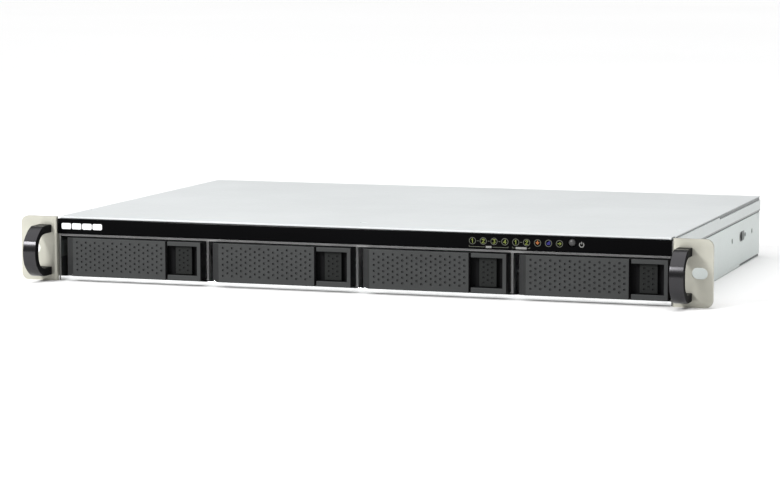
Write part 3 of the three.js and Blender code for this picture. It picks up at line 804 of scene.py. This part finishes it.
def handle(word, side):
    """A bow: round corners, and a grip that bulges forward between two creases."""
    node = f"ear_handle_{word}"
    across, (tip, foot), (low, high) = extent(node)
    centre = middle((low, high))
    half = (high - low) / 2
    reach = EAR_FACE - tip
    thickness = 5.5
    hole_half, hole_reach = half - thickness, reach - thickness
    crease, shoulder, leg_end = (24.4, 8.5), (18.5, 16), 12
    hole_leg_end, hole_corner, hole_bulge = 9, 18, 7

    def at(reach_out, rise):
        return (EAR_FACE - reach_out, centre + rise)

    upper = curve([at(leg_end, half), at(*shoulder), at(*crease)], 12)
    tip_curve = curve([at(*crease), at(2 * reach - crease[0], 0), at(crease[0], -crease[1])], 20)
    corner = [at(hole_leg_end, -hole_half), at(hole_corner, -hole_half), at(hole_reach, -hole_bulge)]
    lower_hole = curve([*corner, at(hole_reach, 0)], 14)
    upside_down = lambda points: [(y, 2 * centre - z) for y, z in reversed(points)]
    outline = [
        (foot, centre + half), *upper, *tip_curve[1:], *upside_down(upper)[1:],
        (foot, centre - half), (foot, centre - hole_half),
        *lower_hole, *upside_down(lower_hole)[1:],
        (foot, centre + hole_half),
    ]
    bow = prisms(f"handle_bow_{word}", (outline, "side", across))
    soften(bow, 0.45, 3, 50)
    dress(smooth(bow, 25), GUNMETAL, "handle_gunmetal", node)


# --- front strip and lamps


def front_strip():
    for node, material, radius in (("front_strip", GLOSS, 0.35), ("bay_frame", SILVER, 0.15)):
        keep_node(node, material, radius)
    (x0, x1), (face, back), _ = extent("power_button")
    radius, flange = 2.4, (x1 - x0) / 2
    profile = [
        (0, face), (0.7, face + 0.05), (1.3, face + 0.2), (1.8, face + 0.45),
        (radius - 0.15, face + 0.8), (radius, face + 1.1), (radius, back - 0.8),
        (flange, back - 0.8), (flange, back), (0, back),
    ]
    button = spun("power_key", profile, facing("power_button"), "front", 48)
    dress(smooth(button, 50), KEY, "black_plastic", "power_button", body="power_button")


def stroke(points, width):
    """A flat band along a polyline, as quads in x and z."""
    quads = []
    for (ax, az), (bx, bz) in zip(points, points[1:]):
        length = math.hypot(bx - ax, bz - az)
        ux, uz = (bx - ax) / length, (bz - az) / length
        nx, nz = -uz * width / 2, ux * width / 2
        ex, ez = ux * width / 2, uz * width / 2
        quads.append([
            (ax - ex + nx, az - ez + nz), (ax - ex - nx, az - ez - nz),
            (bx + ex - nx, bz + ez - nz), (bx + ex + nx, bz + ez + nz),
        ])
    return quads


INK_THICKNESS = 0.06


def ink(name, material, *outlines, slot_name="print_grey"):
    """Flat printed shapes, proud of the strip by the thickness of the ink."""
    face = extent("front_strip")[1][0]
    first, *others = [(outline, "front", (face - INK_THICKNESS, face + 0.02)) for outline in outlines]
    piece = prisms(name, first)
    fuse(piece, *others)
    dress(piece, material, slot_name)


def ring(centre, radius, width):
    """A ring as one outline with a seam."""
    return arc(centre, radius, 90, 449.9, 28) + arc(centre, radius - width, 449.9, 90, 28)


# Digits and marks as strokes in a cell about two units wide and three tall, about its middle.
GLYPHS = {
    "1": [[(-0.5, 0.8), (0.1, 1.4), (0.1, -1.4)]],
    "2": [[(-0.9, 0.9), (-0.3, 1.4), (0.5, 1.4), (0.9, 0.8), (-0.9, -1.4), (0.9, -1.4)]],
    "3": [[(-0.9, 1.4), (0.9, 1.4), (0.0, 0.3), (0.9, -0.5), (0.3, -1.4), (-0.9, -1.2)]],
    "4": [[(0.4, -1.4), (0.4, 1.4), (-0.9, -0.5), (0.9, -0.5)]],
    "lamp": [[(0, 1.5), (0, 0.2)], [(-1.1, 0.4), (0, -0.9), (1.1, 0.4)]],
    "bars": [[(-1.0, -0.9), (-1.0, 0.2)], [(0, -0.9), (0, 0.9)], [(1.0, -0.9), (1.0, 1.5)]],
    "arrow": [[(-1.2, 0), (1.2, 0)], [(0.3, 0.9), (1.2, 0), (0.3, -0.9)]],
}

LAMPS = [
    *[(digit, "green") for digit in "123412"], ("lamp", "orange"), ("bars", "blue"), ("arrow", "green"),
]


def lamps():
    """Nine round lamps in printed rings, joined in two groups by dashes and underlined."""
    colours = {"green": LAMP_GREEN, "orange": LAMP_ORANGE, "blue": LAMP_BLUE}
    pitch, first, height, radius, cell, thin = 7.31, 82.0, 37.8, 2.35, 0.85, 0.35
    centres = [(first + index * pitch, height) for index in range(len(LAMPS))]
    for index, (centre, (glyph, colour)) in enumerate(zip(centres, LAMPS)):
        name = f"lamp_{index + 1}"
        ink(f"{name}_ring", RING, ring(centre, radius, 0.4))
        strokes = []
        for line in GLYPHS[glyph]:
            points = [(centre[0] + cell * a, centre[1] + cell * b) for a, b in line]
            strokes += stroke(points, 0.5)
        ink(f"{name}_mark", colours[colour], *strokes, slot_name=f"lamp_{colour}")
    dashes = [
        rectangle(around(middle((centres[i][0], centres[i + 1][0])), 1.3), around(height, thin))
        for i in (0, 1, 2, 4)
    ]
    under = 33.8
    labels = []
    for start, end, bar in ((0, 3, 1.95), (4, 5, 3.7)):
        left, right = centres[start][0] - radius, centres[end][0] + radius
        centre = middle((left, right))
        dashes += [
            rectangle((left, centre - bar - 0.7), (under, under + thin)),
            rectangle((centre + bar + 0.7, right), (under, under + thin)),
            rectangle((left, left + thin), (under + 0.3, under + 1.0)),
            rectangle((right - thin, right), (under + 0.3, under + 1.0)),
        ]
        labels.append(rectangle((centre - bar, centre + bar), (under - 0.5, under + 0.9), 0.3))
    for index, outline in enumerate(dashes):
        ink(f"lamp_line_{index + 1}", RING, outline)
    for index, outline in enumerate(labels):
        ink(f"lamp_label_{index + 1}", FAINT_INK, outline)


def printed_marks():
    """An on/off mark by the button, and four plain bars at the strip's left end."""
    x, z = 155.2, 37.6
    open_ring = arc((x, z), 1.75, 125, 415, 24) + arc((x, z), 1.2, 415, 125, 24)
    ink("power_mark_ring", FAINT_INK, open_ring)
    bar = rectangle(around(x, 0.5), (z + 0.3, z + 2.0))
    ink("power_mark_bar", FAINT_INK, bar)
    left, pitch, width, height = -211.3, 7.7, 7.0, (35.6, 39.7)
    for index in range(4):
        start = left + index * pitch
        ink(f"bay_mark_{index + 1}", INK, rectangle((start, start + width), height, 1.0))


# --- trays


BARREL_RADIUS = 1.8
PIN_BORE = 0.95


def perforate(obj, face, across, up, pitch, radius, depth, taper):
    """Cuts rows of small blind holes, staggered and pitch apart, that fill a rectangle."""
    (left, right), (low, high) = across, up
    step = pitch * math.sqrt(3) / 2
    columns = int((right - left) / step) + 1
    margin = (right - left - (columns - 1) * step) / 2
    rows = int((high - low) / pitch) + 1
    bottom = low + (high - low - (rows - 1) * pitch) / 2
    holes = []
    for column in range(columns):
        shift = column % 2
        for row in range(rows - shift):
            centre = (left + margin + column * step, bottom + (row + shift / 2) * pitch)
            holes.append((circle(centre, radius, 10), "front", (face - 0.01, face + depth), taper))
    carve(obj, *holes)


def pin_place(bay):
    """The lever's hinge pin seen from above."""
    x, y, _ = extent(f"tray_{bay}_hinge_pin")
    return (middle(x), middle(y))


def lever(bay):
    """The lever: a cover with a bevelled, smooth hinge end and rows of small tapered holes."""
    node = f"tray_{bay}_lever"
    (_, right), (face, _), (low, high) = extent(node)
    centre = facing(f"tray_{bay}_sled")[0]
    at = lambda x, y: (centre + x, EAR_FACE + y)
    back = face + 2.6
    pin_x, pin_y = pin_place(bay)
    outline = [
        at(-46.5, -0.5),
        at(-46.1, -1.2),
        at(-41.0, -3.5),
        (right, face), (right, back + 1.2), (right - 1.6, back + 1.2), (right - 1.6, back),
        *curve([at(-39.9, -0.9), at(-44.3, -1.1), at(-46.1, 0.3)], 6),
    ]
    cover = prisms(f"tray_{bay}_lever_cover", (outline, "plan", (low, high)))
    soften(cover, 0.4, 3, 30)
    barrel_height = (low + 4.85, high - 4.9)
    barrel = (circle((pin_x, pin_y), BARREL_RADIUS, 28), "plan", barrel_height)
    web = box_part((pin_x - 1.4, pin_x + 1.6), (pin_y - 2.7, pin_y), barrel_height)
    fuse(cover, barrel, web)
    carve(cover, (circle((pin_x, pin_y), PIN_BORE, 20), "plan", (low + 3, high - 3)))
    perforate(cover, face, (centre - 37.8, centre + 24.5), (8.1, 27.4), 3.775, 0.85, 0.7, 0.45)
    dress(smooth(cover, 20), TRAY, "tray_plastic", node, body=f"lever_{bay}")


def bezel(bay):
    """The tray's front: back plate, recess frame, right-hand cheek and hinge knuckles."""
    node = f"tray_{bay}_bezel"
    (_, right), (face, cheek_back), (low, high) = extent(node)
    centre = facing(f"tray_{bay}_sled")[0]
    pin_x, pin_y = pin_place(bay)
    plate = (EAR_FACE + 2.5, EAR_FACE + 3.9)
    bar_depth = (face, plate[0] + 0.2)
    shelf_depth = (face + 3.2, plate[0] + 0.2)
    recess = (centre + 28.6, centre + 50.2)
    behind_lever = (centre - 39.9, centre + 28.8)
    body = prisms(f"tray_{bay}_front", box_part((centre + 50, right), (face, plate[1]), (low, high)))
    fuse(
        body,
        box_part((right - 1.5, right), (plate[0], cheek_back), (low, high)),
        box_part((behind_lever[0], recess[1]), plate, (low, high)),
        box_part(recess, bar_depth, (low, 7.5)),
        box_part(recess, bar_depth, (27.3, high)),
        box_part(behind_lever, shelf_depth, (low, low + 1)),
        box_part(behind_lever, shelf_depth, (high - 1, high)),
    )
    soften(body, 0.3, 3)
    for height in ((5.3, 8.5), (25.5, 28.7)):
        knuckle = (circle((pin_x, pin_y), BARREL_RADIUS, 28), "plan", height)
        arm = box_part((pin_x, centre - 39.4), (pin_y - 1, plate[1] - 0.4), height)
        fuse(body, knuckle, arm)
    carve(body, (circle((pin_x, pin_y), PIN_BORE, 20), "plan", (0, 40)))
    carve(body, *[
        (rectangle(around(centre + x, 18), (8, 26.5), 1.5), "front", (plate[0] - 1, plate[1] + 1))
        for x in (-27, -5, 17)
    ])
    dress(smooth(body), BEZEL, "tray_plastic", node, body=f"tray_{bay}")


def latch(bay):
    """The release slide: a faintly dotted panel on a stem."""
    node = f"tray_{bay}_latch"
    (left, right), (face, deep), (low, high) = extent(node)
    panel = prisms(f"tray_{bay}_release", box_part((left, right), (face, face + 1.6), (low, high)))
    soften(panel, 0.4, 3)
    fuse(panel, box_part((left + 2.6, left + 8.6), (face + 0.4, deep), (13, 21)))
    perforate(panel, face, (left + 1.8, right - 1.6), (low + 1.8, high - 1.8), 3.4, 0.8, 0.45, 0.4)
    dress(smooth(panel), LATCH, "tray_plastic", node, body=f"latch_{bay}")


def sled(bay):
    """The tray's floor and rails, narrower at the front, with air windows and screw holes."""
    node = f"tray_{bay}_sled"
    (x0, x1), (front, rear), (low, high) = extent(node)
    centre = facing(node)[0]
    shoulder = EAR_FACE + 15.7
    neck = (centre - 44.6, centre + 50.7)
    side, wall = 1.2, 0.8
    floor, upright = (low, low + 0.8), (low, high)
    neck_depth, shoulder_depth = (front, shoulder + wall), (shoulder, shoulder + wall)
    tray = prisms(f"tray_{bay}_carrier", box_part((x0, x1), (shoulder, rear), floor))
    fuse(
        tray,
        box_part((x0, x0 + side), (shoulder, rear), upright),
        box_part((x1 - side, x1), (shoulder, rear), upright),
        box_part((x0, neck[0] + side), shoulder_depth, upright),
        box_part((neck[1] - side, x1), shoulder_depth, upright),
        box_part(neck, neck_depth, floor),
        box_part((neck[0], neck[0] + side), neck_depth, upright),
        box_part((neck[1] - side, neck[1]), neck_depth, upright),
        box_part(neck, (front, front + wall), upright),
    )
    carve(tray, *[
        (rectangle(around(centre, 68), around(EAR_FACE + y, 22), 3), "plan", (low - 1, low + 2))
        for y in (40, 76, 112, 148)
    ])
    soften(tray, 0.2)
    carve(tray, *[
        (circle((EAR_FACE + y, low + 7), 1.8, 20), "side", (x0 - 1, x1 + 1)) for y in (45, 87, 130)
    ])
    dress(smooth(tray), TRAY, "tray_plastic", node, body=f"tray_{bay}")


# --- fans, sockets and boards


def fan_rotor(name, node, body):
    """A hub with seven curved, pitched blades."""
    (front, rear), (x, z) = extent(node)[1], facing(node)
    hub, tip, blades = 8.6, 17.6, 7
    profile = [(0, front), (hub - 1.2, front), (hub, front + 1.2), (hub, rear), (0, rear)]
    rotor = spun(name, profile, (x, z))
    stations = 6
    for index in range(blades):
        bm = bmesh.new()
        grid = []
        for step in range(stations + 1):
            radius = hub - 0.6 + (tip - hub + 0.6) * step / stations
            sweep = index * 2 * math.pi / blades + 0.35 * (step / stations) ** 1.5
            row = []
            for along in range(5):
                share = along / 4
                y = front + 1.5 + share * (rear - front - 2.5)
                turn = sweep + (share - 0.5) * 0.75 * (1 + 0.15 * math.sin(math.pi * share))
                for side in (-0.035, 0.035):
                    angle = turn + side * hub / radius
                    spot = (x + radius * math.cos(angle), y, z + radius * math.sin(angle))
                    row.append(bm.verts.new(spot))
            grid.append(row)
        for inner, outer in zip(grid, grid[1:]):
            for along in range(4):
                a, b = 2 * along, 2 * along + 2
                bm.faces.new((inner[a], outer[a], outer[b], inner[b]))
                bm.faces.new((inner[a + 1], inner[b + 1], outer[b + 1], outer[a + 1]))
            bm.faces.new((inner[0], inner[1], outer[1], outer[0]))
            bm.faces.new((inner[8], outer[8], outer[9], inner[9]))
        for row in (grid[0], grid[-1]):
            for along in range(4):
                a, b = 2 * along, 2 * along + 2
                bm.faces.new((row[a], row[b], row[b + 1], row[a + 1]))
        combine(rotor, new_object("part", bm), "UNION")
    dress(smooth(rotor, 45), BLACK, "black_plastic", node, body=body)


def fan_frame(number):
    """A square frame with round corners, screw holes, a round bore and motor struts."""
    node = f"system_fan_{number}_frame"
    x, (front, rear), z = extent(node)
    centre = facing(node)
    body = prisms(f"fan_{number}_housing", (rectangle(x, z, 3), "front", (front, rear)))
    soften(body, 0.3)
    through = (front - 1, rear + 1)
    carve(body, (circle(centre, 18.6, 64), "front", through))
    carve(body, *[(circle(place, 1.7, 20), "front", through) for place in fan_corners(number)])
    mount_depth = (rear - 2.4, rear - 0.4)
    fuse(body, (circle(centre, 8.6, 48), "front", mount_depth))
    for index in range(3):
        angle = index * 2 * math.pi / 3 + 0.5
        along = Vector((math.cos(angle), math.sin(angle)))
        across = Vector((-along.y, along.x)) * 1.1
        start, end = Vector(centre) + along * 8, Vector(centre) + along * 19.2
        strut = [tuple(p) for p in (start - across, end - across, end + across, start + across)]
        fuse(body, (strut, "front", mount_depth))
    dress(smooth(body), BLACK, "black_plastic", node)


def power_inlet():
    """A mains inlet: a flange with a chamfered socket and three blades."""
    node = "power_inlet"
    x, (deep, face), z = extent(node)
    cx, cz = facing(node)
    body = prisms("mains_inlet", (rectangle(x, z, 2.0), "front", (face - 1.5, face)))
    soften(body, 0.3)
    fuse(body, box_part(around(cx, 27), (deep, face - 1.3), around(cz, 19.6)))
    wide, high, corner = 12.2, 8.3, 4.0
    chamfered = mirrored([(wide, -high), (wide, high - corner), (wide - corner, high)])
    socket = [(cx + a, cz + b) for a, b in chamfered]
    carve(body, (socket, "front", (face - 17, face + 1)))
    dress(smooth(body), BLACK, "black_plastic", node)
    blades = ((-7, 0), (0, 3.5), (7, 0))
    for index, (dx, dz) in enumerate(blades):
        blade = box_part(around(cx + dx, 2), (face - 17.1, face - 4), around(cz + dz, 4))
        pin = prisms(f"mains_pin_{index + 1}", blade)
        soften(pin, 0.4, 3)
        dress(smooth(pin), NICKEL, "bright_nickel")


def sockets():
    """Contacts and tongues inside the network and serial sockets."""
    for node in ("lan_ports", "usb_ports_1", "usb_ports_2"):
        keep_node(node, NICKEL, 0.2)
    x, (_, face), (low, _) = extent("lan_ports")
    for index, side in enumerate((-1, 1)):
        cx = middle(x) + side * 8
        back_wall = box_part(around(cx, 12.2), (face - 13.9, face - 12.9), (low + 2.1, low + 10.3))
        liner = prisms(f"lan_liner_{index + 1}", back_wall)
        dress(smooth(liner), BLACK, "black_plastic")
        root, tip = face - 12.8, face - 3.0
        spring = [(root, low + 2.6), (tip, low + 2.9), (tip, low + 3.15), (root, low + 5.6)]
        for pin in range(8):
            across = around(cx + (pin - 3.5) * 1.02, 0.4)
            contact = prisms(f"lan_contact_{index + 1}_{pin + 1}", (spring, "side", across))
            dress(contact, BRASS, "bright_nickel")
    for number in (1, 2):
        x, (_, face), (low, _) = extent(f"usb_ports_{number}")
        for level, rise in enumerate((1.4, 9.2)):
            height = (low + rise + 3.0, low + rise + 4.9)
            blade = box_part(around(middle(x), 11.2), (face - 11.9, face - 1.2), height)
            tongue = prisms(f"usb_tongue_{number}_{level + 1}", blade)
            soften(tongue, 0.2)
            dress(smooth(tongue), USB_BLUE, "lamp_blue")


def inner_nodes():
    """CAD nodes whose shape is right and that keep it."""
    keep_node("drive_cage", CAGE, 0.15)
    for node in ("backplane", "mainboard", "memory_module", "led_board"):
        keep_node(node, BOARD)
    for node in ("memory_socket", "reset_button", *[f"drive_connector_{bay}" for bay in BAYS]):
        keep_node(node, BLACK, 0.15)
    for node in ("power_supply_case", "processor_heatsink"):
        keep_node(node, ALUMINIUM, 0.2)
    for bay in BAYS:
        keep_node(f"tray_{bay}_hinge_pin", NICKEL)


# --- floor, light and camera


def stage():
    bm = bmesh.new()
    reach = 30000
    bm.faces.new([bm.verts.new((x, y, 0)) for x, y in rectangle((-reach, reach), (-reach, reach))])
    floor = new_object("floor", bm)
    nodes = Nodes("floor_paint")
    shade = nodes.mix(nodes.spread(nodes.noise(0.7, 2), 0, 1), (0.88, 0.88, 0.88), (0.90, 0.90, 0.90))
    floor.data.materials.append(nodes.finish(Base_Color=shade, Roughness=0.9, Specular_IOR_Level=0.1))


def add_light(data, direction, place=(0, 0, 0)):
    """Put a light in the scene, shining along a direction."""
    lamp = bpy.data.objects.new(data.name, data)
    lamp.location = place
    lamp.rotation_euler = Vector(direction).to_track_quat("-Z", "Y").to_euler()
    bpy.context.scene.collection.objects.link(lamp)


def sunlight(name, direction, energy, spread):
    """A far light, as wide as its spread in degrees."""
    sun = bpy.data.lights.new(name, "SUN")
    sun.energy = energy
    sun.angle = math.radians(spread)
    add_light(sun, direction)


def softbox(name, place, wide, tall, energy):
    """A lit panel that faces the enclosure."""
    panel = bpy.data.lights.new(name, "AREA")
    panel.shape = "RECTANGLE"
    panel.size = wide
    panel.size_y = tall
    panel.energy = energy
    add_light(panel, -Vector(place), place)


def studio_light():
    """A softbox at the upper left of the front, a broad light overhead and a fill from the right."""
    softbox("key", (-0.66, -1.45, 0.92), 0.3, 0.3, 28)
    sunlight("overhead", (0.0, 0.1, -1.0), 2.35, 80)
    sunlight("fill", (-1.0, -0.3, -0.4), 0.12, 60)
    world = bpy.data.worlds.new("studio")
    bpy.context.scene.world = world
    world.use_nodes = True
    background = world.node_tree.nodes["Background"]
    background.inputs["Color"].default_value = (1.0, 1.0, 1.0, 1)
    background.inputs["Strength"].default_value = 0.37
    bpy.context.scene.view_settings.view_transform = "Standard"


def camera():
    """A long lens from the front, a little to the right and above."""
    place = Vector((595.2, EAR_FACE - 1710.1, 239.1)) * MM
    yaw, pitch, roll = -0.3215, 0.1135, -0.0005
    forward = Vector((math.sin(yaw) * math.cos(pitch), math.cos(yaw) * math.cos(pitch), -math.sin(pitch)))
    data = bpy.data.cameras.new("camera")
    data.sensor_width = 36
    data.lens = 127.41
    data.clip_end = 200
    obj = bpy.data.objects.new("camera", data)
    bpy.context.scene.collection.objects.link(obj)
    turn = forward.to_track_quat("-Z", "Y").to_matrix() @ Matrix.Rotation(roll, 3, "Z")
    obj.matrix_world = Matrix.Translation(place) @ turn.to_4x4()
    bpy.context.scene.camera = obj


# --- everything

cover_shell()
base_shell()
rail_rivets()
rear_panel()
screws()
for word, side in SIDES:
    ear(word, side)
    ear_screws(word, side)
    handle(word, side)
front_strip()
lamps()
printed_marks()
for bay in BAYS:
    lever(bay)
    bezel(bay)
    latch(bay)
    sled(bay)
fan_rotor("fan_1_blades", "system_fan_1_rotor", "system_fan_1")
fan_rotor("fan_2_blades", "system_fan_2_rotor", "system_fan_2")
fan_rotor("supply_fan_blades", "power_supply_fan_rotor", "power_supply_fan")
for number in (1, 2):
    fan_frame(number)
power_inlet()
sockets()
inner_nodes()
stage()
studio_light()
camera()
